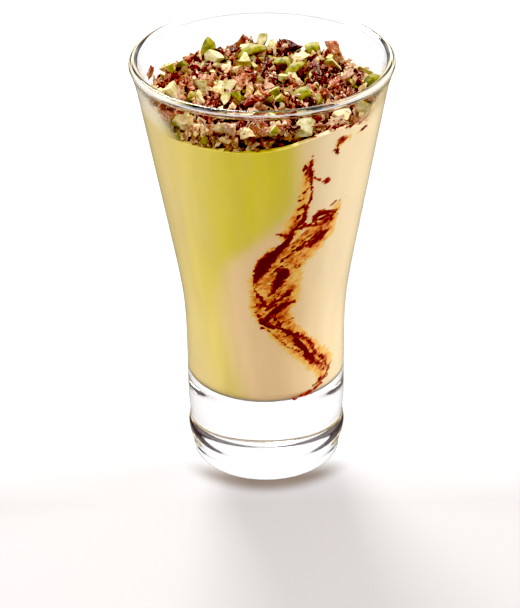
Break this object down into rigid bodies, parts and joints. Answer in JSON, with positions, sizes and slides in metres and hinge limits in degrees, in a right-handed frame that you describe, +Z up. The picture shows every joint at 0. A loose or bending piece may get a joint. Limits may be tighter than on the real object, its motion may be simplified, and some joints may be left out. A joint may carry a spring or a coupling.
{
  "type": "pistachio ice cream coupe",
  "caption": "Tall flared dessert glass with a heavy base, filled with pistachio and custard ice cream, a chocolate ripple and a layer of chopped nuts and praline.",
  "frame": {"origin": "middle of the glass's flat base, on the surface it stands on", "axes": "+Z up along the glass's axis, -Y towards the side where the chocolate ripple shows, +X to the right seen from there"},
  "size_m": [0.08, 0.08, 0.137],
  "materials": {
    "clear_glass": "clear, polished",
    "pistachio_ice_cream": "smooth frozen cream, yellow green",
    "custard_ice_cream": "smooth frozen cream, pale beige",
    "chocolate_sauce": "dark, slightly glossy",
    "nuts_and_praline": "chopped, rough, partly glossy"
  },
  "bodies": {
    "root": {"glass": "clear_glass", "pistachio_ice_cream": "pistachio_ice_cream", "custard_ice_cream": "custard_ice_cream", "chocolate_ripple": "chocolate_sauce", "nut_topping": "nuts_and_praline"}
  },
  "joints": []
}
